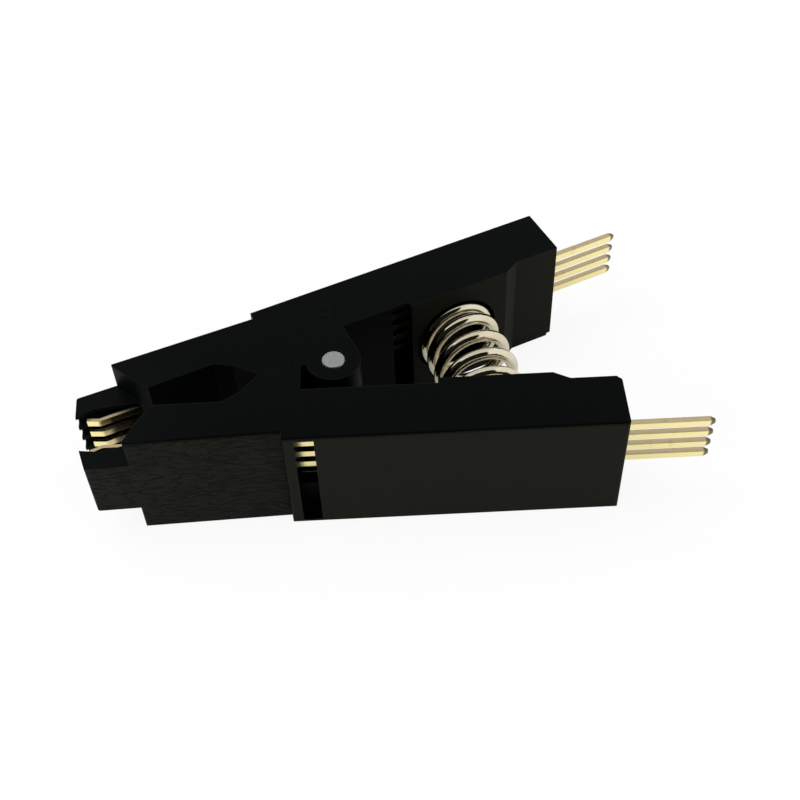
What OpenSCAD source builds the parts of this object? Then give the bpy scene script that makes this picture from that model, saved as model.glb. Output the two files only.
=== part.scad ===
// Spring-loaded test clip for an eight-lead small-outline IC package.
// Millimetres. The clip lies on its side: Z runs along the hinge pin, the jaws point to -X and the
// contact pins to +X. The XZ plane halves the angle between the two arms, and the origin is on the
// hinge axis in the side face that the clip lies on.
// An arm is drawn in its own frame: u runs from the hinge towards the pins, v runs outwards from the
// hinge, and z is shared. Both arms are the same moulding, one turned over about the clip's long axis.

/* [Body] */
// Width of the clip between its two side faces
body_w = 10.6; // [9.6:0.1:12.6]
// Angle between the two arms with the clip closed, in degrees
rest_angle = 23.7; // [21:0.1:25.5]
// Hinge axis to the rear face of an arm
handle_l = 22.5; // [21.5:0.05:26]
// Hinge axis to the outer face of the grip
grip_h = 8.1; // [7.5:0.05:9]
// Hinge axis to the front end of the raised grip
grip_front = 4; // [3.4:0.1:5]
// How far the grip stands proud of the jaw
grip_step = 0.7; // [0.3:0.05:0.9]
// Radius of the outer edges
edge_r = 0.25; // [0.1:0.05:0.4]
// Hinge axis to the inner face between hinge and spring
waist_h = 3.05; // [2.9:0.05:3.3]
// Hinge axis to the inner face at the rear of an arm
rear_h = 3.2; // [2.9:0.05:3.6]
// Hinge axis to the platform round the spring
platform_h = 2.5; // [2.3:0.05:2.8]
// Length of the ramp from the platform to the rear land
ramp_l = 1.3; // [0.8:0.1:2]
// Size of the nick in the rear inner corner
nick = 0.4; // [0.2:0.05:0.6]

/* [Jaw] */
// Hinge axis to the front edge of the full-width jaw
jaw_l = 16.2; // [15.6:0.1:17]
// Angle at which the outer face of the jaw flares, in degrees
jaw_flare = 2; // [0:0.25:3]
// Hinge axis to the inner face of the mouth
mouth_h = 3.95; // [3.5:0.05:4.2]
// Hinge axis to the rear end of the mouth's inner face
mouth_l = 8.7; // [8.2:0.05:9.4]
// Hinge axis to the chin, the inner front corner of the full-width jaw
chin_l = 14.15; // [13.6:0.05:14.4]
// Height of the steep part of the chin
chin_rise = 1.2; // [0.4:0.05:1.4]
// How far the steep part of the chin leans forward
chin_lean = 0.75; // [0.3:0.05:1]
// Hinge axis to the front end of the faces that stop the closed arms
throat_l = 5.9; // [5:0.1:6.5]
// Angle at which the throat opens in front of the stop faces, in degrees
throat_angle = 50; // [40:1:60]
// Gap left between the stop faces of the closed arms
stop_gap = 0.1; // [0.06:0.02:0.2]

/* [Tip] */
// Hinge axis to the outer front corner of the comb
tip_l = 19.4; // [18.8:0.05:20]
// How far the teeth of the comb lean forward
tooth_lead = 0.66; // [0.3:0.02:0.9]
// Hinge axis to the point of a tooth
tooth_h = 6; // [5.9:0.05:6.4]
// How far the inner edge of the comb rises behind a tooth
tooth_rise = 0.2; // [0.1:0.05:0.4]
// Thickness of the comb's two outer walls
comb_wall = 0.31; // [0.25:0.01:0.5]
// How far the root of a comb wall stands back from the inner face of the contacts
comb_lap = 0.1; // [0.05:0.01:0.2]
// Width of a slot of the comb
slot_w = 0.88; // [0.78:0.01:0.95]
// Hinge axis to the floor of a slot
slot_h = 6.6; // [6.4:0.05:6.9]
// Hinge axis to the rear end of a slot
slot_l = 15; // [14.9:0.05:15.4]

/* [Contacts] */
// Distance from one contact to the next
pitch = 1.27; // [1.2:0.01:1.3]
// Width of a contact along the hinge
contact_w = 0.6; // [0.5:0.02:0.64]
// Hinge axis to the inner face of a contact
contact_h = 5.15; // [5.05:0.05:5.3]
// Thickness of the springy leg in the comb
leg_t = 0.3; // [0.2:0.02:0.4]
// Thickness of the stretch that the moulding grips
key_t = 0.62; // [0.56:0.02:0.7]
// Thickness of the rear pin
pin_t = 0.5; // [0.44:0.02:0.56]
// Length of the rear pin outside the arm
pin_l = 7.4; // [5:0.02:9]
// Length of the bevel on the rear pin
bevel_l = 0.4; // [0.2:0.05:0.6]
// Width of the bevel on the rear pin
bevel_w = 0.14; // [0.08:0.01:0.18]
// Hinge axis to the bend of the nose
nose_l = 18.4; // [18:0.05:18.6]
// Length of the nose from its bend
nose_reach = 1.05; // [0.8:0.05:1.2]
// Angle at which the nose turns outwards, in degrees
nose_angle = 27; // [20:1:35]
// Outer radius of the nose's bend, which touches the package's lead
bend_r = 0.6; // [0.5:0.05:0.8]

/* [Mould windows] */
// Hinge axis to the front end of the outer window
window_front = 3.08; // [2.9:0.02:3.3]
// Length of the outer window along the arm
window_l = 1.54; // [1.2:0.02:1.8]
// Wall left beside the outer window
window_wall = 0.36; // [0.3:0.02:0.8]
// Depth of the ledge in the outer window
window_d = 1.5; // [0.8:0.05:1.7]
// How far the ledge laps over the first contact
ledge_lap = 0.17; // [0:0.01:0.3]
// Length of the inner window along the arm
core_l = 1.55; // [1.2:0.05:1.8]
// Wall left beside the inner window
core_wall = 0.4; // [0.3:0.05:0.8]
// How far a contact stands proud in the windows
proud = 0.2; // [0.1:0.02:0.3]
// Diameter of the gate mark in the side face
gate_d = 0.86; // [0.5:0.02:1.2]
// Depth of the gate mark
gate_depth = 0.06; // [0.03:0.01:0.1]
// Hinge axis to the gate mark along the arm
gate_l = 1.6; // [1.2:0.1:2.4]
// Hinge axis to the gate mark across the arm
gate_h = 5.3; // [4.8:0.1:5.8]

/* [Hinge] */
// Diameter of the hinge pin
pin_d = 1.95; // [1.6:0.05:2.2]
// Radial running clearance of the pin in the upper arm
pin_play = 0.04; // [0.02:0.01:0.08]
// Chamfer on the ends of the hinge pin
pin_chamfer = 0.1; // [0.05:0.01:0.2]
// Radius of the knuckles round the hinge pin
knuckle_r = 2.2; // [2:0.05:2.3]
// Clearance between a knuckle and the other arm's pocket
pocket_play = 0.4; // [0.3:0.05:0.5]
// Gap between two neighbouring knuckles
knuckle_gap = 0.15; // [0.1:0.01:0.25]

/* [Spring] */
// Diameter of the spring wire
wire_d = 1; // [0.8:0.05:1.1]
// Outer diameter of the spring
spring_d = 7.05; // [6.4:0.05:7.2]
// Number of turns, with one closed turn at each end
turns = 6.1; // [5.1:0.1:6.4]
// Pitch of the closed turns as a multiple of the wire
closed_pitch = 1.2; // [1.15:0.01:1.25]
// Hinge axis to the middle of the spring's seat
seat_l = 12.4; // [12.2:0.05:13]
// Depth of the round seat below the platform
seat_d = 1; // [0.7:0.05:1.3]
// Clearance round the spring in its seat
seat_play = 0.25; // [0.15:0.05:0.35]
// Gap left under the spring's end turns
seat_gap = 0.05; // [0.02:0.01:0.1]
// Lip in front of the seat
seat_lip = 0.42; // [0.3:0.02:0.8]
// Land behind the seat
seat_land = 1.05; // [0.8:0.05:1.5]

/* [Hidden] */
$fn = 64;
eps = 0.01;
over = 2;
contacts = 4;
knuckles = 4;
bend_steps = 6;
half = rest_angle / 2;

knuckle_w = (body_w - (knuckles - 1) * knuckle_gap) / knuckles;
pocket_r = knuckle_r + pocket_play;
comb_w = (contacts - 1) * pitch + slot_w + 2 * comb_wall;
seat_r = spring_d / 2 + seat_play;
platform_front = seat_l - seat_r - seat_lip;
platform_rear = seat_l + seat_r + seat_land;
seat_floor = platform_h + seat_d;
core_front = platform_front - core_l;
window_floor = grip_h - window_d;
row_w = (contacts - 1) * pitch + contact_w;

// Height of the jaw's outer face at a distance in front of the hinge
function jaw_h(u) = grip_h - grip_step + (u - grip_front) * tan(jaw_flare);
// Height of the closing stop face at a distance in front of the hinge
function stop_h(u) = (stop_gap / 2 + u * sin(half)) / cos(half);
// Middle of contact i along the hinge
function contact_z(i) = body_w / 2 + (i - (contacts - 1) / 2) * pitch;

// The spring's axis is an arc about the line in which the two seat floors meet.
arc_x = -seat_floor / sin(half);
arc_r = seat_l + seat_floor / tan(half);
wire_r = wire_d / 2;
coil_r = spring_d / 2 - wire_r;
end_turn = closed_pitch * wire_d / arc_r * 180 / PI;
first_turn = half - (wire_r + seat_gap) / (arc_r - coil_r) * 180 / PI;
open_turn = 2 * (first_turn - end_turn) / (turns - 2);
turn_steps = 28;
wire_sides = 10;
rings = ceil(turns * turn_steps);

// Angle along the spring's arc after t turns
function arc_angle(t) =
    t < 1 ? -first_turn + t * end_turn
    : t > turns - 1 ? first_turn - (turns - t) * end_turn
    : -first_turn + end_turn + (t - 1) * open_turn;
// Direction across the spring, away from the hinge, at an angle along the arc
function arc_out(p) = [cos(p), sin(p), 0];
// Outward direction of the coil after t turns
function coil_out(t) = cos(360 * t) * arc_out(arc_angle(t)) - [0, 0, sin(360 * t)];
// Middle of the wire after t turns
function coil_mid(t) =
    [arc_x, 0, body_w / 2] + arc_r * arc_out(arc_angle(t)) + coil_r * coil_out(t);
function unit(a) = a / norm(a);
function reverse(a) = [for (i = [len(a) - 1 : -1 : 0]) a[i]];
// Direction of the wire after t turns
function coil_along(t) = unit(coil_mid(t + eps) - coil_mid(t - eps));
// Points round the wire after t turns
function wire_ring(t) =
    let (out = unit(coil_out(t)), side = cross(coil_along(t), out))
    [for (k = [0 : wire_sides - 1])
        let (a = 360 * k / wire_sides)
        coil_mid(t) + wire_r * (cos(a) * out + sin(a) * side)];

// Puts what is drawn in an arm's own frame where the lower arm is
module lower() {
    rotate([0, 0, -half]) mirror([0, 1, 0]) children();
}

// Puts what is drawn in an arm's own frame where the upper arm is
module upper() {
    translate([0, 0, body_w]) rotate([180, 0, 0]) lower() children();
}

// A box in an arm's own frame, from one corner to the other
module box(low, high) {
    translate(low) cube(high - low);
}

// What an edge radius takes off the corner at p, between edges that leave it at angles a and b
module corner_cut(p, a, b) {
    turn = (b - a) / 2;
    run = edge_r / tan(turn);
    along = [cos(turn), sin(turn)];
    across = [-sin(turn), cos(turn)];
    start = run * along + eps * across;
    translate(p) rotate((a + b) / 2) difference() {
        polygon([[-eps / sin(turn), 0], [start.x, -start.y], [edge_r / sin(turn), 0], start]);
        translate([edge_r / sin(turn), 0]) circle(r = edge_r);
    }
}

// Side view of an arm without its knuckles, its outer corners rounded
module beam_outline() {
    chin = [-chin_l - chin_lean, mouth_h + chin_rise];
    brow = [-jaw_l, jaw_h(jaw_l)];
    difference() {
        beam_corners(chin, brow);
        corner_cut([handle_l, grip_h], 180, 270);
        corner_cut([-grip_front, grip_h], -90, 0);
        corner_cut(brow, atan2(chin.y - brow.y, chin.x - brow.x), -jaw_flare);
    }
}

// Side view of an arm with sharp corners
module beam_corners(chin, brow) {
    polygon([
        [handle_l, grip_h],
        [-grip_front, grip_h],
        [-grip_front, jaw_h(grip_front)],
        brow,
        chin,
        [-chin_l, mouth_h],
        [-mouth_l, mouth_h],
        [-throat_l - (waist_h - stop_h(throat_l)) / tan(throat_angle), waist_h],
        [-throat_l, stop_h(throat_l)],
        [-pocket_r, stop_h(pocket_r)],
        [-pocket_r, waist_h],
        [platform_front, waist_h],
        [platform_front, platform_h],
        [platform_rear, platform_h],
        [platform_rear + ramp_l, rear_h],
        [handle_l, rear_h]
    ]);
}

// Side view of a knuckle and the web that ties it to its arm
module knuckle_outline() {
    circle(r = knuckle_r);
    polygon([
        [-pocket_r - eps, stop_h(pocket_r)],
        [0, stop_h(0)],
        [knuckle_r, 0],
        [knuckle_r, waist_h + eps],
        [-pocket_r - eps, waist_h + eps]
    ]);
}

// Side view of the comb that guides the contact legs
module comb_outline() {
    tooth = [-tip_l - tooth_lead, tooth_h];
    front = [-tip_l, jaw_h(tip_l)];
    difference() {
        polygon([
            [-slot_l, jaw_h(slot_l)],
            front,
            tooth,
            [-nose_l, tooth_h + tooth_rise],
            [-slot_l, contact_h + comb_lap],
            [-chin_l, contact_h + comb_lap]
        ]);
        corner_cut(front, atan2(tooth.y - front.y, tooth.x - front.x), -jaw_flare);
    }
}

// Cross-section of a stretch of an arm: square inside, round along the two outer edges
module rounded_section(h) {
    difference() {
        square([h, body_w]);
        for (side = [0, 1]) translate([h, side * body_w]) rotate(90 + 90 * side) edge_corner();
    }
}

// What the edge radius takes off a square corner at the origin
module edge_corner() {
    difference() {
        translate([-eps, -eps]) square(edge_r + eps);
        translate([edge_r, edge_r]) circle(r = edge_r);
    }
}

// Keeps what lies under an outer face that starts at height h above u and rises at an angle
module under_face(u, h, angle, length) {
    translate([u, h, 0]) rotate([0, 0, angle]) translate([0, -grip_h - over, 0])
        rotate([90, 0, 90]) linear_extrude(length) rounded_section(grip_h + over);
}

// Solid arm with its outer edges rounded
module beam() {
    intersection() {
        linear_extrude(body_w) beam_outline();
        union() {
            under_face(-grip_front, grip_h, 0, handle_l + grip_front + over);
            mirror([1, 0, 0]) under_face(grip_front - over, jaw_h(grip_front - over), jaw_flare, jaw_l);
        }
    }
}

// Knuckles at every other place along the hinge
module own_knuckles() {
    for (k = [0 : 2 : knuckles - 1])
        translate([0, 0, k * (knuckle_w + knuckle_gap)]) linear_extrude(knuckle_w) knuckle_outline();
}

// Comb at the tip of the jaw, without its slots
module comb() {
    translate([0, 0, (body_w - comb_w) / 2]) linear_extrude(comb_w) comb_outline();
}

// Slots of the comb, one for each contact
module comb_slots() {
    for (i = [0 : contacts - 1])
        box([-tip_l - tooth_lead - over, 0, contact_z(i) - slot_w / 2],
            [-slot_l, slot_h, contact_z(i) + slot_w / 2]);
}

// Windows in which the mould holds the contacts: one from outside, one from between the arms
module mould_windows() {
    box([-window_front, window_floor, window_wall],
        [window_l - window_front, grip_h + over, body_w - window_wall]);
    box([-window_front, contact_h + proud, (body_w - row_w) / 2 + ledge_lap],
        [window_l - window_front, grip_h, body_w - window_wall]);
    box([core_front, 0, core_wall], [platform_front, contact_h + proud, body_w - core_wall]);
}

// Round seat for the end of the spring
module spring_seat() {
    translate([seat_l, seat_floor, body_w / 2]) rotate([90, 0, 0]) cylinder(r = seat_r, h = seat_d + over);
}

// Mark that the mould's gate leaves in the side face
module gate_mark() {
    translate([gate_l, gate_h, -over]) cylinder(d = gate_d, h = gate_depth + over);
}

// One moulded arm, bored to a radius round the hinge pin
module arm(bore_r) {
    difference() {
        union() {
            beam();
            own_knuckles();
            comb();
        }
        comb_slots();
        mould_windows();
        spring_seat();
        gate_mark();
        translate([0, 0, -over]) cylinder(r = bore_r, h = body_w + 2 * over);
        translate([handle_l, rear_h, body_w]) rotate([0, 0, 45]) cube(nick * sqrt(2), center = true);
        for (i = [0 : contacts - 1]) contact(i);
    }
}

// Points of the nose's bend at radius r, from the leg to the nose
function nose_bend(r) = [for (s = [0 : bend_steps])
    let (a = nose_angle * s / bend_steps)
    [bend_r * tan(nose_angle / 2) - nose_l - r * sin(a), contact_h + bend_r - r * cos(a)]];

// Side view of a contact: nose, springy leg, keyed stretch and rear pin
module contact_outline() {
    tip = [-nose_l - nose_reach * cos(nose_angle), contact_h + nose_reach * sin(nose_angle)];
    polygon([
        each nose_bend(bend_r),
        tip,
        tip + leg_t * [sin(nose_angle), cos(nose_angle)],
        each reverse(nose_bend(bend_r - leg_t)),
        [-window_front - 2 * key_t, contact_h + leg_t],
        [-window_front - key_t, contact_h + key_t],
        [core_front - key_t, contact_h + key_t],
        [core_front, contact_h + pin_t],
        [handle_l + pin_l - bevel_l, contact_h + pin_t],
        [handle_l + pin_l, contact_h + pin_t - bevel_w],
        [handle_l + pin_l, contact_h + bevel_w],
        [handle_l + pin_l - bevel_l, contact_h]
    ]);
}

// Plan view of a contact, which bevels the sides of the rear pin
module contact_plan() {
    rear = handle_l + pin_l;
    polygon([
        [-nose_l - nose_reach - over, 0],
        [rear - bevel_l, 0],
        [rear, bevel_w],
        [rear, contact_w - bevel_w],
        [rear - bevel_l, contact_w],
        [-nose_l - nose_reach - over, contact_w]
    ]);
}

// Contact i, counted along the hinge from the side face that carries the arm's outer knuckle
module contact(i) {
    translate([0, 0, contact_z(i) - contact_w / 2]) intersection() {
        linear_extrude(contact_w) contact_outline();
        translate([0, contact_h + over, 0]) rotate([90, 0, 0]) linear_extrude(2 * over) contact_plan();
    }
}

module lower_arm() {
    color("#202224") lower() arm(pin_d / 2);
}

module upper_arm() {
    color("#202224") upper() arm(pin_d / 2 + pin_play);
}

module hinge_pin() {
    color("#c8cbd0") rotate_extrude() polygon([
        [0, 0],
        [pin_d / 2 - pin_chamfer, 0],
        [pin_d / 2, pin_chamfer],
        [pin_d / 2, body_w - pin_chamfer],
        [pin_d / 2 - pin_chamfer, body_w],
        [0, body_w]
    ]);
}

module coil_spring() {
    points = [for (r = [0 : rings]) each wire_ring(turns * r / rings)];
    sides = [for (r = [0 : rings - 1], k = [0 : wire_sides - 1])
        let (a = r * wire_sides + k, b = r * wire_sides + (k + 1) % wire_sides)
        [a, b, b + wire_sides, a + wire_sides]];
    start_cap = [for (k = [wire_sides - 1 : -1 : 0]) k];
    end_cap = [for (k = [0 : wire_sides - 1]) rings * wire_sides + k];
    color("#c9c6bd") polyhedron(points, [each sides, start_cap, end_cap]);
}

module lower_contact(i) {
    color("#d9b45b") lower() contact(i);
}

module upper_contact(i) {
    color("#d9b45b") upper() contact(contacts - 1 - i);
}

lower_arm();
upper_arm();
hinge_pin();
coil_spring();
lower_contact(0);  // lower_contact_1
lower_contact(1);  // lower_contact_2
lower_contact(2);  // lower_contact_3
lower_contact(3);  // lower_contact_4
upper_contact(0);  // upper_contact_1
upper_contact(1);  // upper_contact_2
upper_contact(2);  // upper_contact_3
upper_contact(3);  // upper_contact_4
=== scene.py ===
import logging
import math
from collections.abc import Mapping, Sequence
from dataclasses import dataclass, field
from enum import Enum

import bpy
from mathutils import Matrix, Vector


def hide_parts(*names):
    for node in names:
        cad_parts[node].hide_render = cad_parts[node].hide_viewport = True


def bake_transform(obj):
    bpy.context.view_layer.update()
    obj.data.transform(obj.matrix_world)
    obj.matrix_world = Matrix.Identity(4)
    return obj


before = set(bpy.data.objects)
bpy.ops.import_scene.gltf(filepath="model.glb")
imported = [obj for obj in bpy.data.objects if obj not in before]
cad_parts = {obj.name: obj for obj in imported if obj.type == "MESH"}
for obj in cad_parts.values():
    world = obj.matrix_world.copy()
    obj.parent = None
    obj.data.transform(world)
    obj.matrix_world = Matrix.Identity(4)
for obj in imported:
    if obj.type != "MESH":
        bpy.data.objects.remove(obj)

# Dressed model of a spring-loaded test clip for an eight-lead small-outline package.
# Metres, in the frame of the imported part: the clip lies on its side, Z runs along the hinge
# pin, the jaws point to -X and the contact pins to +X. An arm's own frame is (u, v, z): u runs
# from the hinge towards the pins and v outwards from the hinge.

Triple = tuple[float, float, float]
Colour = Triple

LOG = logging.getLogger("clip")
MM = 0.001
HALF_ANGLE = math.radians(11.85)
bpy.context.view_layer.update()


class Half(Enum):
    """The two moving halves of the clip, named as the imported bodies."""

    LOWER = "lower_half"
    UPPER = "upper_half"

    @property
    def side(self) -> float:
        """Sign of Y on this half's side of the clip."""
        return -1.0 if self is Half.LOWER else 1.0

    @property
    def turn(self) -> float:
        """Angle about Z in radians that lays this half along X."""
        return -self.side * HALF_ANGLE

    @property
    def outward(self) -> Triple:
        """Direction that this half's outer face looks in."""
        return (-math.sin(HALF_ANGLE), self.side * math.cos(HALF_ANGLE), 0.0)

    @property
    def inward(self) -> Triple:
        """Direction from this half to the other."""
        return (math.sin(HALF_ANGLE), -self.side * math.cos(HALF_ANGLE), 0.0)


class Noise(Enum):
    """Kinds of noise node."""

    PLAIN = "ShaderNodeTexNoise"
    CELLS = "ShaderNodeTexVoronoi"


class Blend(Enum):
    """Ways in which one colour is laid over another."""

    MIX = "MIX"
    MULTIPLY = "MULTIPLY"
    ADD = "ADD"


class Signal:
    """A number that changes over a surface; arithmetic on it adds Math nodes."""

    def __init__(self, graph: "Graph", socket: bpy.types.NodeSocket) -> None:
        """Wraps an output socket of a graph."""
        self.graph = graph
        self.socket = socket

    def math(self, operation: str, *inputs: "Signal | float") -> "Signal":
        """Adds a Math node.

        Args:
            operation: The node's operation.
            inputs: Its values in order, signals or plain numbers.

        Returns:
            The node's result.
        """
        node = self.graph.node("ShaderNodeMath", {"operation": operation}, dict(enumerate(inputs)))
        return Signal(self.graph, node.outputs[0])

    def __add__(self, other: "Signal | float") -> "Signal":
        """Sum."""
        return self.math("ADD", self, other)

    __radd__ = __add__

    def __sub__(self, other: "Signal | float") -> "Signal":
        """Difference."""
        return self.math("SUBTRACT", self, other)

    def __rsub__(self, other: "Signal | float") -> "Signal":
        """Difference, with the signal second."""
        return self.math("SUBTRACT", other, self)

    def __mul__(self, other: "Signal | float") -> "Signal":
        """Product."""
        return self.math("MULTIPLY", self, other)

    __rmul__ = __mul__

    def __abs__(self) -> "Signal":
        """Size without the sign."""
        return self.math("ABSOLUTE", self)

    def ramp(self, low: float, high: float) -> "Signal":
        """Rises smoothly from 0 to 1.

        Args:
            low: Value at which the result is 0.
            high: Value at which the result is 1; below low, the result falls instead.

        Returns:
            The smooth step.
        """
        first, last, start, end = (low, high, 0.0, 1.0) if low < high else (high, low, 1.0, 0.0)
        node = self.graph.node(
            "ShaderNodeMapRange",
            {"interpolation_type": "SMOOTHSTEP", "clamp": True},
            {0: self, 1: first, 2: last, 3: start, 4: end},
        )
        return Signal(self.graph, node.outputs[0])


@dataclass(frozen=True)
class Tint:
    """A colour that changes over a surface, as the output of a node."""

    socket: bpy.types.NodeSocket


class Graph:
    """The nodes of one material."""

    def __init__(self, name: str) -> None:
        """Makes an empty node material with that name."""
        self.material = bpy.data.materials.new(name)
        self.material.use_nodes = True
        self.tree = self.material.node_tree
        self.tree.nodes.clear()

    def node(
        self,
        kind: str,
        settings: Mapping[str, object] | None = None,
        inputs: Mapping[str | int, object] | None = None,
    ) -> bpy.types.Node:
        """Adds any node.

        Args:
            kind: The node's type name.
            settings: Its own settings, which are set first.
            inputs: Values or links of its sockets, by name or number.

        Returns:
            The new node.
        """
        made = self.tree.nodes.new(kind)
        for key, value in (settings or {}).items():
            setattr(made, key, value)
        for key, value in (inputs or {}).items():
            self.feed(made.inputs[key], value)
        return made

    def feed(self, socket: bpy.types.NodeSocket, value: object) -> None:
        """Links or sets one input socket.

        Args:
            socket: The input socket.
            value: A signal, a tint, an output socket, a number or a tuple of numbers.
        """
        if isinstance(value, (Signal, Tint)):
            value = value.socket
        if isinstance(value, bpy.types.NodeSocket):
            self.tree.links.new(value, socket)
        elif isinstance(value, tuple) and socket.type == "RGBA" and len(value) == 3:
            socket.default_value = (*value, 1.0)
        else:
            socket.default_value = value

    def signal(self, node: bpy.types.Node, output: str | int = 0) -> Signal:
        """Wraps one output of a node."""
        return Signal(self, node.outputs[output])

    def place(self, scale: Triple = (1.0, 1.0, 1.0), turn: float = 0.0) -> bpy.types.NodeSocket:
        """Gives the place of a point on the piece.

        Args:
            scale: Factors along the three axes, after the change to millimetres.
            turn: Angle about Z in radians that comes before the factors.

        Returns:
            The turned and scaled place.
        """
        where = self.node("ShaderNodeTexCoord")
        turned = self.node(
            "ShaderNodeMapping",
            {"vector_type": "POINT"},
            {"Vector": where.outputs["Object"], "Rotation": (0.0, 0.0, turn), "Scale": (1 / MM,) * 3},
        )
        scaled = self.node(
            "ShaderNodeVectorMath", {"operation": "MULTIPLY"}, {0: turned.outputs[0], 1: scale}
        )
        return scaled.outputs[0]

    def axis(self, place: bpy.types.NodeSocket, index: int) -> Signal:
        """Gives one coordinate of a place."""
        return self.signal(self.node("ShaderNodeSeparateXYZ", None, {0: place}), index)

    def facing(self, direction: Triple) -> Signal:
        """Tells how far the surface faces a direction.

        Args:
            direction: A unit vector in the piece's own space.

        Returns:
            1 where the surface faces it, -1 where it faces away.
        """
        where = self.node("ShaderNodeTexCoord")
        dot = self.node(
            "ShaderNodeVectorMath",
            {"operation": "DOT_PRODUCT"},
            {0: where.outputs["Normal"], 1: direction},
        )
        return self.signal(dot, "Value")

    def noise(
        self,
        place: bpy.types.NodeSocket,
        scale: float,
        detail: float = 2.0,
        rough: float = 0.5,
        warp: float = 0.0,
    ) -> Signal:
        """Adds soft noise.

        Args:
            place: Where the noise is read.
            scale: Features per unit of the place.
            detail: Octaves of finer noise.
            rough: Weight of the finer octaves.
            warp: How far the noise is distorted.

        Returns:
            Noise from 0 to 1.
        """
        inputs = {"Vector": place, "Scale": scale, "Detail": detail, "Roughness": rough, "Distortion": warp}
        return self.signal(self.node(Noise.PLAIN.value, {"noise_dimensions": "3D"}, inputs))

    def cells(self, place: bpy.types.NodeSocket, scale: float, feature: str = "F1") -> Signal:
        """Adds a cell pattern.

        Args:
            place: Where the pattern is read.
            scale: Cells per unit of the place.
            feature: What is measured in a cell.

        Returns:
            The distance that the feature names.
        """
        node = self.node(Noise.CELLS.value, {"feature": feature}, {"Vector": place, "Scale": scale})
        return self.signal(node, "Distance")

    def shift(self, place: bpy.types.NodeSocket, amount: Signal, along: Triple) -> bpy.types.NodeSocket:
        """Moves a place by a signal.

        Args:
            place: The place to move.
            amount: How far it moves.
            along: Direction and size of the move.

        Returns:
            The moved place.
        """
        node = self.node(
            "ShaderNodeVectorMath", {"operation": "MULTIPLY_ADD"}, {0: amount, 1: along, 2: place}
        )
        return node.outputs[0]

    def tint(self, amount: Signal | float, low: object, high: object, blend: Blend = Blend.MIX) -> Tint:
        """Mixes two colours.

        Args:
            amount: 0 gives the first colour, 1 the second.
            low: First colour.
            high: Second colour.
            blend: How the second is laid over the first.

        Returns:
            The mixed colour.
        """
        settings = {"data_type": "RGBA", "blend_type": blend.value, "clamp_factor": True}
        return Tint(self.node("ShaderNodeMix", settings, {0: amount, 6: low, 7: high}).outputs[2])

    def bevel(self, radius: float, samples: int = 6) -> bpy.types.NodeSocket:
        """Gives a normal that rounds sharp edges by a radius in metres."""
        return self.node("ShaderNodeBevel", {"samples": samples}, {"Radius": radius}).outputs[0]

    def bump(
        self, height: Signal, distance: float, strength: float, normal: bpy.types.NodeSocket | None = None
    ) -> bpy.types.NodeSocket:
        """Turns a height into a normal.

        Args:
            height: Height from 0 to 1.
            distance: Depth of that height in metres.
            strength: Share of the depth that shows.
            normal: Normal that the relief is laid on.

        Returns:
            The normal with the relief.
        """
        inputs: dict[str | int, object] = {"Strength": strength, "Distance": distance, "Height": height}
        if normal is not None:
            inputs["Normal"] = normal
        return self.node("ShaderNodeBump", None, inputs).outputs[0]

    def surface(self, inputs: Mapping[str | int, object]) -> bpy.types.Material:
        """Ends the material in one principled shader.

        Args:
            inputs: Values or links of the shader's sockets.

        Returns:
            The finished material.
        """
        shader = self.node("ShaderNodeBsdfPrincipled", None, inputs)
        self.node("ShaderNodeOutputMaterial", None, {"Surface": shader.outputs[0]})
        return self.material


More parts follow.
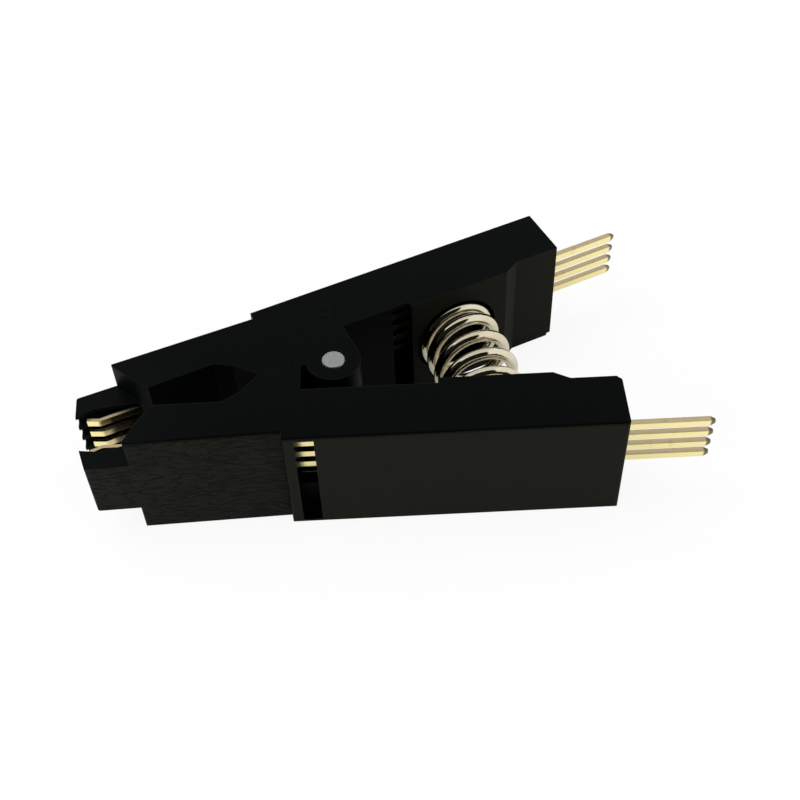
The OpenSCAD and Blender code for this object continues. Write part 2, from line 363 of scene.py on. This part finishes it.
@dataclass(frozen=True)
class MouldedPlastic:
    """Satin black moulded plastic, with a leathery grain on the jaw's outer face, outer and inward faces
    painted lighter as lit faces, a painted sheen towards the tip, edges painted lighter for wear and
    highlight, and painted shade in the creases.

    Places along and across the arm are in millimetres from the hinge.
    """

    name: str
    turn: float
    outward: Triple
    side_tint: Colour = (0.0008, 0.0013, 0.0013)
    # Painted light: outer and inward faces are painted in this lighter tone, as lit faces; the side faces
    # keep the dark tone.
    lit_face_tint: Colour = (0.0093, 0.0091, 0.0062)
    # Painted highlight and wear: the rounded edges are painted in this lighter tone.
    edge_wear_and_highlight_tint: Colour = (0.020, 0.021, 0.019)
    # Painted sheen: added to the face towards the jaw tip.
    tip_sheen_tint: Colour = (0.0018, 0.0022, 0.0022)
    cloud_shade: Colour = (0.72, 0.78, 0.88)
    # Painted shade: multiplied into the creases of the grain.
    painted_crease_shade: Colour = (0.42, 0.44, 0.46)
    rough: float = 0.43
    gloss: float = 0.036
    edge_radius: float = 0.09 * MM
    grain_end: float = -4.0
    grain_depth: float = 0.08 * MM
    skin_height: float = 7.05
    skin_depth: float = 0.006 * MM
    tip_sheen_fade: tuple[float, float] = (-9.0, -19.5)
    platform_fade: tuple[float, float] = (8.0, 8.6)

    def creases(self, g: Graph, here: bpy.types.NodeSocket, drift: Signal) -> Signal:
        """Draws the leathery grain.

        Args:
            g: The material's nodes.
            here: Place on the arm.
            drift: Broad soft noise.

        Returns:
            1 in the middle of a crease and 0 between creases.
        """
        pulled = g.place((0.42, 1.0, 1.55), self.turn)
        wavy = g.shift(pulled, g.noise(here, 0.7, 2.0, 0.5) - 0.5, (0.2, 0.0, 0.55))
        moved = g.shift(wavy, drift, (7.0, 3.0, 5.0))
        folds = abs(g.noise(wavy, 1.15, 1.5, 0.5, 0.3) - 0.5).ramp(0.0, 0.075)
        wrinkles = abs(g.noise(moved, 1.9, 1.0, 0.5, 0.4) - 0.47).ramp(0.0, 0.06)
        broken = g.noise(here, 0.9, 2.0, 0.6).ramp(0.40, 0.55)
        return (1 - folds) * 0.6 + (1 - wrinkles) * broken * 0.4

    def edges(self, g: Graph, rounded: bpy.types.NodeSocket) -> Signal:
        """Finds the arm's edges.

        Args:
            g: The material's nodes.
            rounded: Normal that rounds the edges.

        Returns:
            1 on an edge and 0 away from it.
        """
        flat = g.node("ShaderNodeNewGeometry").outputs["True Normal"]
        bend = g.node("ShaderNodeVectorMath", {"operation": "DOT_PRODUCT"}, {0: rounded, 1: flat})
        return g.signal(bend, "Value").ramp(0.995, 0.86)

    def material(self) -> bpy.types.Material:
        """Builds the finish.

        Returns:
            The material, whose pattern follows the arm's own frame.
        """
        g = Graph(self.name)
        here = g.place(turn=self.turn)
        along = g.axis(here, 0)
        across = abs(g.axis(here, 1))
        skin_step = 0.15
        raised = across.ramp(self.skin_height - skin_step, self.skin_height + skin_step)
        outer = g.facing(self.outward).ramp(0.55, 0.9) * raised
        lit_inner = g.facing(self.outward).ramp(-0.55, -0.9) * along.ramp(*self.platform_fade)
        jaw = along.ramp(self.grain_end + 0.03, self.grain_end - 0.03)

        drift = g.noise(here, 0.55, 2.0, 0.5)
        fine = g.noise(here, 14.0, 3.0, 0.62)
        flow = g.noise(g.place((0.35, 1.6, 1.6), self.turn), 1.4, 3.0, 0.5)
        crease = outer * jaw * self.creases(g, here, drift)
        rounded = g.bevel(self.edge_radius)
        edge = self.edges(g, rounded)

        # Painted light: the outer face and the inward faces by the platform are painted lighter, as lit
        # faces.
        plain = g.tint(outer + lit_inner, self.side_tint, self.lit_face_tint)
        # Painted sheen: the face grows lighter towards the jaw tip.
        face = g.tint(along.ramp(*self.tip_sheen_fade), plain, self.tip_sheen_tint, Blend.ADD)
        shaded = g.tint(1.0, face, self.cloud_shade, Blend.MULTIPLY)
        mottled = g.tint(drift * 0.5, face, shaded)
        # Painted shade: the creases of the grain are painted darker.
        crease_shaded = g.tint(1.0, mottled, self.painted_crease_shade, Blend.MULTIPLY)
        creased = g.tint(crease * 1.15, mottled, crease_shaded)
        # Painted highlight and wear: the rounded edges are painted lighter.
        worn_and_highlit = g.tint(edge * (0.35 + fine * 0.5), creased, self.edge_wear_and_highlight_tint)

        skin = fine * 0.75 + flow * 0.25
        rough = self.rough + (fine - 0.5) * 0.10 + (drift - 0.5) * 0.08 + crease * 0.12 - edge * 0.06
        relief = g.bump(skin, self.skin_depth, 1.0, rounded)
        relief = g.bump(1 - crease, self.grain_depth, 0.9, relief)
        return g.surface(
            {
                "Base Color": worn_and_highlit,
                "Roughness": rough,
                "Specular IOR Level": self.gloss,
                "IOR": 1.5,
                "Normal": relief,
            }
        )


@dataclass(frozen=True)
class GoldPlate:
    """Gold over stamped spring bronze: bright rolled faces, duller sheared flanks, and painted shade on the
    faces turned to the other arm.

    Places along the arm are in millimetres from the hinge.
    """

    name: str
    turn: float
    inward: Triple
    bright: Colour = (1.0, 0.84, 0.36)
    pale: Colour = (1.0, 0.92, 0.50)
    sheared: Colour = (0.70, 0.58, 0.36)
    torn_metal: Colour = (0.46, 0.36, 0.21)
    stain: Colour = (0.30, 0.17, 0.07)
    # Painted shade and reflection: dark brown for the faces turned to the other arm.
    inward_painted_shade: Colour = (0.060, 0.040, 0.030)
    darker_pin_tip: Colour = (0.085, 0.065, 0.035)
    rough: float = 0.2
    sheared_rough: float = 0.36
    edge_radius: float = 0.03 * MM
    shade_nose_fade: tuple[float, float] = (-17.9, -17.3)
    shade_window_fade: tuple[float, float] = (12.0, 11.0)
    end_fade: tuple[float, float] = (29.42, 29.6)

    def material(self) -> bpy.types.Material:
        """Builds the finish.

        Returns:
            The material for the stamped contacts.
        """
        g = Graph(self.name)
        here = g.place(turn=self.turn)
        along = g.axis(here, 0)
        flank = abs(g.facing((0.0, 0.0, 1.0))).ramp(0.6, 0.9)
        # Painted shade and reflection: the faces turned to the other arm, between the nose and the window,
        # are painted dark.
        inward_shade = g.facing(self.inward).ramp(0.93, 0.97)
        inward_shade = inward_shade * along.ramp(*self.shade_nose_fade) * along.ramp(*self.shade_window_fade)
        drawn = g.noise(g.place((0.5, 9.0, 9.0)), 1.6, 3.0, 0.6)
        torn = g.noise(g.place((5.0, 1.2, 1.0)), 2.4, 3.0, 0.6)
        cloud = g.noise(here, 1.3, 3.0, 0.55)
        speck = g.cells(here, 2.6).ramp(0.16, 0.05)
        skin = g.tint(drawn, self.bright, self.pale)
        dull = g.tint(torn * 0.55, self.sheared, self.torn_metal)
        base = g.tint(flank, skin, dull)
        # Darker at the pin tips.
        base = g.tint(along.ramp(*self.end_fade) * 0.9, base, self.darker_pin_tip)
        base = g.tint(inward_shade * (1.15 - torn * 0.5), base, self.inward_painted_shade)
        base = g.tint(cloud.ramp(0.52, 0.8) * (0.10 + flank * 0.25), base, self.stain)
        base = g.tint(speck * cloud.ramp(0.5, 0.62) * 0.55, base, self.stain)
        rough = self.rough + flank * (self.sheared_rough - self.rough) + (drawn - 0.5) * 0.12 + speck * 0.1
        height = drawn * (1 - flank) * 0.5 + torn * flank
        relief = g.bump(height, 0.006 * MM, 0.8, g.bevel(self.edge_radius, 4))
        return g.surface({"Base Color": base, "Metallic": 1.0, "Roughness": rough, "Normal": relief})


@dataclass(frozen=True)
class BrushedSteel:
    """Turned steel pin with a brushed end."""

    name: str = "brushed_pin_steel"
    light: Colour = (0.42, 0.43, 0.43)
    dark: Colour = (0.16, 0.17, 0.18)
    rough: float = 0.36

    def material(self) -> bpy.types.Material:
        """Builds the finish.

        Returns:
            The material for the hinge pin.
        """
        g = Graph(self.name)
        here = g.place()
        brushed = g.noise(g.place((14.0, 1.1, 1.0), math.radians(28)), 1.4, 4.0, 0.65)
        scratch = g.noise(g.place((1.0, 16.0, 1.0), math.radians(-14)), 1.1, 2.0, 0.5).ramp(0.66, 0.72)
        cloud = g.noise(here, 1.7, 2.0, 0.5)
        base = g.tint(brushed.ramp(0.35, 0.7) * 0.45, self.light, self.dark)
        base = g.tint(scratch * 0.6 * cloud, base, self.dark)
        rough = self.rough + (brushed - 0.5) * 0.2 + scratch * 0.1
        relief = g.bump(brushed * 0.7 + scratch * 0.3, 0.006 * MM, 0.9, g.bevel(0.05 * MM, 4))
        return g.surface({"Base Color": base, "Metallic": 1.0, "Roughness": rough, "Normal": relief})


@dataclass(frozen=True)
class NickelWire:
    """Bright nickel-plated spring wire with faint drawing marks."""

    name: str = "nickel_spring_wire"
    bright: Colour = (0.74, 0.69, 0.53)
    warm: Colour = (0.58, 0.48, 0.28)
    pitted: Colour = (0.35, 0.31, 0.25)
    rough: float = 0.1

    def material(self) -> bpy.types.Material:
        """Builds the finish.

        Returns:
            The material for the spring.
        """
        g = Graph(self.name)
        here = g.place()
        cloud = g.noise(here, 0.5, 3.0, 0.55)
        marks = g.noise(g.place((1.0, 6.0, 1.0)), 3.2, 4.0, 0.6)
        speck = g.noise(here, 16.0, 2.0, 0.6)
        base = g.tint(cloud.ramp(0.35, 0.75) * 0.5, self.bright, self.warm)
        base = g.tint(speck.ramp(0.62, 0.75) * 0.25, base, self.pitted)
        rough = self.rough + (marks - 0.5) * 0.12 + (cloud - 0.5) * 0.05
        relief = g.bump(marks * 0.7 + speck * 0.3, 0.004 * MM, 0.7)
        return g.surface({"Base Color": base, "Metallic": 1.0, "Roughness": rough, "Normal": relief})


def tidy_selection() -> None:
    """Leaves edit mode and deselects every object."""
    if bpy.context.object is not None and bpy.context.object.mode != "OBJECT":
        bpy.ops.object.mode_set(mode="OBJECT")
    bpy.ops.object.select_all(action="DESELECT")


def settle(piece: bpy.types.Object) -> None:
    """Puts a piece's place into its mesh and leaves it alone selected."""
    tidy_selection()
    bpy.context.view_layer.objects.active = piece
    piece.select_set(True)
    bpy.ops.object.transform_apply(location=True, rotation=True, scale=True)


def dress(piece: bpy.types.Object, finish: bpy.types.Material) -> None:
    """Gives a piece one finish in place of those it has."""
    piece.data.materials.clear()
    piece.data.materials.append(finish)


def triangles(piece: bpy.types.Object) -> int:
    """Counts the triangles of a piece's mesh."""
    return sum(len(face.vertices) - 2 for face in piece.data.polygons)


@dataclass
class Arms:
    """The two moulded arms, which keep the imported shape."""

    nodes: Mapping[Half, str] = field(
        default_factory=lambda: {Half.LOWER: "lower_arm", Half.UPPER: "upper_arm"}
    )

    def finish(self, half: Half) -> MouldedPlastic:
        """Lays the plastic's grain along one arm.

        Args:
            half: The arm.

        Returns:
            The plastic, turned with the arm.
        """
        return MouldedPlastic(f"{self.nodes[half]}_plastic", half.turn, half.outward)

    def build(self) -> None:
        """Dresses both arms."""
        for half, node in self.nodes.items():
            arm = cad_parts[node]
            dress(arm, self.finish(half).material())
            LOG.info("%s: %d triangles, moulded plastic", node, triangles(arm))


@dataclass
class Contacts:
    """The eight stamped contacts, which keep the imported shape."""

    count: int = 4
    rows: Mapping[Half, str] = field(
        default_factory=lambda: {Half.LOWER: "lower_contact", Half.UPPER: "upper_contact"}
    )

    def finish(self, half: Half) -> GoldPlate:
        """Lays the plating's marks along one row.

        Args:
            half: The row's arm.

        Returns:
            The plating, turned with the arm.
        """
        return GoldPlate(f"{self.rows[half]}_gold", half.turn, half.inward)

    def build(self) -> None:
        """Dresses the contacts of both arms."""
        for half, row in self.rows.items():
            gold = self.finish(half).material()
            for number in range(1, self.count + 1):
                node = f"{row}_{number}"
                dress(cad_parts[node], gold)
                LOG.info("%s: %d triangles, gold plate", node, triangles(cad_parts[node]))


@dataclass
class HingePin:
    """The steel pin through the knuckles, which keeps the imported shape."""

    node: str = "hinge_pin"
    finish: BrushedSteel = BrushedSteel()

    def build(self) -> None:
        """Dresses the pin."""
        dress(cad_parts[self.node], self.finish.material())
        LOG.info("%s: %d triangles, brushed steel", self.node, triangles(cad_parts[self.node]))


@dataclass
class CoilSpring:
    """The compression spring between the grips, wound along an arc between its two seats."""

    node: str = "coil_spring"
    wire_d: float = 1.0 * MM
    outer_d: float = 7.05 * MM
    turns: float = 6.1
    closed_pitch: float = 1.2 * MM
    seat_l: float = 12.4 * MM
    seat_floor: float = 3.5 * MM
    seat_gap: float = 0.05 * MM
    middle_z: float = 5.3 * MM
    half_angle: float = HALF_ANGLE
    steps_a_turn: int = 48
    ring_detail: int = 8
    end_round: float = 0.09 * MM
    finish: NickelWire = NickelWire()

    @property
    def arc_x(self) -> float:
        """Where the planes of the two seat floors meet on the X axis."""
        return -self.seat_floor / math.sin(self.half_angle)

    @property
    def arc_r(self) -> float:
        """Radius of the arc that the spring's axis follows."""
        return self.seat_l + self.seat_floor / math.tan(self.half_angle)

    @property
    def coil_r(self) -> float:
        """Radius of the coil at the middle of the wire."""
        return (self.outer_d - self.wire_d) / 2

    @property
    def half_length(self) -> float:
        """Half the length of the spring's axis between the ends of the wire's middle line."""
        lift = (self.wire_d / 2 + self.seat_gap) / (self.arc_r - self.coil_r)
        return (self.half_angle - lift) * self.arc_r

    def stretch(self, first: float, turns: float, rise: float, start: float) -> bpy.types.Object:
        """Winds a stretch of the wire's middle line round the X axis.

        Args:
            first: Turns already wound before this stretch.
            turns: Turns of this stretch.
            rise: How far it climbs along X.
            start: Where it starts along X.

        Returns:
            The middle line as a mesh of edges.
        """
        angle = 2 * math.pi * first
        at = Vector((start, -self.coil_r * math.cos(angle), -self.coil_r * math.sin(angle)))
        tidy_selection()
        bpy.ops.mesh.primitive_plane_add(size=self.wire_d, location=at)
        line = bpy.context.object
        bpy.ops.object.mode_set(mode="EDIT")
        bpy.ops.mesh.select_all(action="SELECT")
        bpy.ops.mesh.merge(type="CENTER")
        bpy.ops.object.mode_set(mode="OBJECT")
        settle(line)
        screw = line.modifiers.new("wind", "SCREW")
        screw.axis = "X"
        screw.angle = 2 * math.pi * turns
        screw.screw_offset = rise
        screw.steps = screw.render_steps = round(turns * self.steps_a_turn)
        screw.use_smooth_shade = False
        bpy.ops.object.modifier_apply(modifier=screw.name)
        return line

    def middle_line(self) -> bpy.types.Object:
        """Winds the whole middle line: a closed turn, the open turns and a closed turn.

        Returns:
            The line, bent along the arc and in its place.
        """
        open_turns = self.turns - 2
        open_rise = 2 * (self.half_length - self.closed_pitch)
        lines = [
            self.stretch(0, 1, self.closed_pitch, -self.half_length),
            self.stretch(1, open_turns, open_rise, self.closed_pitch - self.half_length),
            self.stretch(self.turns - 1, 1, self.closed_pitch, self.half_length - self.closed_pitch),
        ]
        tidy_selection()
        for line in lines:
            line.select_set(True)
        bpy.context.view_layer.objects.active = lines[0]
        bpy.ops.object.join()
        line = bpy.context.object
        bpy.ops.object.mode_set(mode="EDIT")
        bpy.ops.mesh.select_all(action="SELECT")
        bpy.ops.mesh.remove_doubles(threshold=self.wire_d / 100)
        bpy.ops.object.mode_set(mode="OBJECT")
        arch = line.modifiers.new("arch", "SIMPLE_DEFORM")
        arch.deform_method = "BEND"
        arch.deform_axis = "Z"
        arch.angle = 2 * self.half_length / self.arc_r
        bpy.ops.object.modifier_apply(modifier=arch.name)
        line.rotation_euler = (0.0, 0.0, math.pi / 2)
        line.location = (self.arc_x + self.arc_r, 0.0, self.middle_z)
        settle(line)
        return line

    def wire(self) -> bpy.types.Object:
        """Draws round wire along the middle line.

        Returns:
            The spring as a closed mesh with rounded wire ends.
        """
        spring = self.middle_line()
        bpy.ops.object.convert(target="CURVE")
        spring = bpy.context.object
        spring.data.dimensions = "3D"
        spring.data.fill_mode = "FULL"
        spring.data.twist_mode = "MINIMUM"
        spring.data.bevel_depth = self.wire_d / 2
        spring.data.bevel_resolution = self.ring_detail
        spring.data.use_fill_caps = True
        bpy.ops.object.convert(target="MESH")
        spring = bpy.context.object
        bpy.ops.object.mode_set(mode="EDIT")
        bpy.ops.mesh.select_all(action="SELECT")
        bpy.ops.mesh.remove_doubles(threshold=self.wire_d / 1000)
        bpy.ops.mesh.normals_make_consistent(inside=False)
        bpy.ops.object.mode_set(mode="OBJECT")
        soft = spring.modifiers.new("wire_ends", "BEVEL")
        soft.limit_method = "ANGLE"
        soft.angle_limit = math.radians(60)
        soft.width = self.end_round
        soft.segments = 2
        bpy.ops.object.modifier_apply(modifier=soft.name)
        bpy.ops.object.shade_smooth_by_angle(angle=math.radians(40))
        return spring

    def seat_middle(self, side: float) -> Vector:
        """Middle of one end of the spring; side is -1 for the lower seat and 1 for the upper."""
        angle = side * self.half_length / self.arc_r
        return Vector(
            (self.arc_x + self.arc_r * math.cos(angle), self.arc_r * math.sin(angle), self.middle_z)
        )

    def build(self) -> None:
        """Winds the spring, dresses it and hides the imported spring."""
        spring = self.wire()
        spring.name = spring.data.name = "wound_spring"
        dress(spring, self.finish.material())
        self.seat_middle(-1)
        self.seat_middle(1)
        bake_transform(spring)
        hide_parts(self.node)
        LOG.info("%s: %d triangles, nickel wire", spring.name, triangles(spring))


@dataclass(frozen=True)
class Card:
    """A card that only gloss sees, square to the line from the clip.

    Args:
        name: The card's name.
        place: Middle of the card in metres.
        size: Length of its edges in metres.
        shine: Light that it gives off.
    """

    name: str
    place: Triple
    size: float
    shine: float

    def build(self) -> None:
        """Hangs the card and hides it from everything but gloss."""
        tidy_selection()
        turn = Vector(self.place).to_track_quat("Z", "Y").to_euler()
        bpy.ops.mesh.primitive_plane_add(size=self.size, location=self.place, rotation=turn)
        card = bpy.context.object
        card.name = card.data.name = self.name
        g = Graph(f"{self.name}_paper")
        glow = g.node("ShaderNodeEmission", None, {"Color": (1.0, 1.0, 1.0), "Strength": self.shine})
        g.node("ShaderNodeOutputMaterial", None, {"Surface": glow.outputs[0]})
        dress(card, g.material)
        card.visible_camera = card.visible_diffuse = card.visible_shadow = False


@dataclass
class Studio:
    """Camera, lamps, cards, surroundings and floor."""

    eye: Triple = (-9.14708 * MM, -67.09613 * MM, 81.89651 * MM)
    tilt: Triple = (41.38855, 1.66742, -14.03431)
    lens: float = 55.4913
    soft_light: float = 0.62
    floor_size: float = 0.9
    floor_drop: float = 0.01 * MM
    floor_tint: Colour = (0.97, 0.97, 0.97)
    floor_glow: float = 0.9
    floor_gloss: float = 0.35
    lamps: Sequence[tuple[str, Triple, float, float]] = (
        ("key", (-0.16, 0.10, 0.34), 0.22, 0.55),
        ("fill", (0.28, -0.26, 0.22), 0.24, 0.30),
        ("rim", (-0.30, -0.10, 0.16), 0.16, 0.22),
    )
    cards: Sequence[Card] = (
        Card("grey_card", (0.03, 0.24, 0.28), 0.50, 0.75),
        Card("dark_card", (-0.018, -0.130, 0.130), 0.33, 0.012),
        Card("dark_side_card", (-0.22, -0.02, 0.10), 0.28, 0.015),
    )

    def camera(self) -> None:
        """Places the camera and makes it the scene's own."""
        tidy_selection()
        turn = tuple(math.radians(angle) for angle in self.tilt)
        bpy.ops.object.camera_add(location=self.eye, rotation=turn)
        camera = bpy.context.object
        camera.name = "camera"
        camera.data.lens = self.lens
        camera.data.sensor_width = 36.0
        camera.data.clip_start = 0.005
        camera.data.clip_end = 5.0
        bpy.context.scene.camera = camera

    def lights(self) -> None:
        """Hangs the softboxes, each turned to the clip."""
        for name, place, size, power in self.lamps:
            tidy_selection()
            bpy.ops.object.light_add(type="AREA", location=place)
            lamp = bpy.context.object
            lamp.name = name
            lamp.data.size = size
            lamp.data.energy = power
            lamp.visible_glossy = False
            lamp.rotation_euler = (-Vector(place)).to_track_quat("-Z", "Y").to_euler()

    def surroundings(self) -> None:
        """Makes plain soft light all round, and white where the camera and gloss look."""
        world = bpy.data.worlds.new("surroundings")
        world.use_nodes = True
        bpy.context.scene.world = world
        nodes, links = world.node_tree.nodes, world.node_tree.links
        nodes.clear()
        rays = nodes.new("ShaderNodeLightPath")
        seen = nodes.new("ShaderNodeMath")
        seen.operation = "ADD"
        seen.use_clamp = True
        through = nodes.new("ShaderNodeMath")
        through.operation = "ADD"
        soft, white = nodes.new("ShaderNodeBackground"), nodes.new("ShaderNodeBackground")
        soft.inputs["Strength"].default_value = self.soft_light
        white.inputs["Strength"].default_value = 1.0
        for node in (soft, white):
            node.inputs["Color"].default_value = (1.0, 1.0, 1.0, 1.0)
        mix, out = nodes.new("ShaderNodeMixShader"), nodes.new("ShaderNodeOutputWorld")
        links.new(rays.outputs["Is Camera Ray"], through.inputs[0])
        links.new(rays.outputs["Is Glossy Ray"], through.inputs[1])
        links.new(through.outputs[0], seen.inputs[0])
        links.new(rays.outputs["Is Transmission Ray"], seen.inputs[1])
        links.new(seen.outputs[0], mix.inputs[0])
        links.new(soft.outputs[0], mix.inputs[1])
        links.new(white.outputs[0], mix.inputs[2])
        links.new(mix.outputs[0], out.inputs["Surface"])

    def floor(self) -> None:
        """Lays a plain white floor that keeps the clip's soft shadow."""
        tidy_selection()
        bpy.ops.mesh.primitive_plane_add(size=self.floor_size, location=(0.0, 0.0, -self.floor_drop))
        floor = bpy.context.object
        floor.name = "floor"
        g = Graph("white_floor")
        card = g.node("ShaderNodeBsdfDiffuse", None, {"Color": self.floor_tint})
        glow = g.node("ShaderNodeEmission", None, {"Color": (1.0, 1.0, 1.0), "Strength": 1.0})
        rays = g.node("ShaderNodeLightPath")
        seen = g.signal(rays, "Is Camera Ray") * self.floor_glow
        seen = seen + g.signal(rays, "Is Glossy Ray") * self.floor_gloss
        mix = g.node("ShaderNodeMixShader", None, {0: seen, 1: card.outputs[0], 2: glow.outputs[0]})
        g.node("ShaderNodeOutputMaterial", None, {"Surface": mix.outputs[0]})
        dress(floor, g.material)

    def build(self) -> None:
        """Sets up the whole studio."""
        self.camera()
        self.lights()
        self.surroundings()
        self.floor()
        for card in self.cards:
            card.build()
        bpy.context.scene.view_settings.view_transform = "Standard"


def main() -> None:
    """Builds the studio and the clip's sub-assemblies in order."""
    logging.basicConfig(level=logging.INFO, format="%(name)s: %(message)s")
    Studio().build()
    for assembly in (Arms(), Contacts(), HingePin(), CoilSpring()):
        assembly.build()


if __name__ == "__main__":
    main()
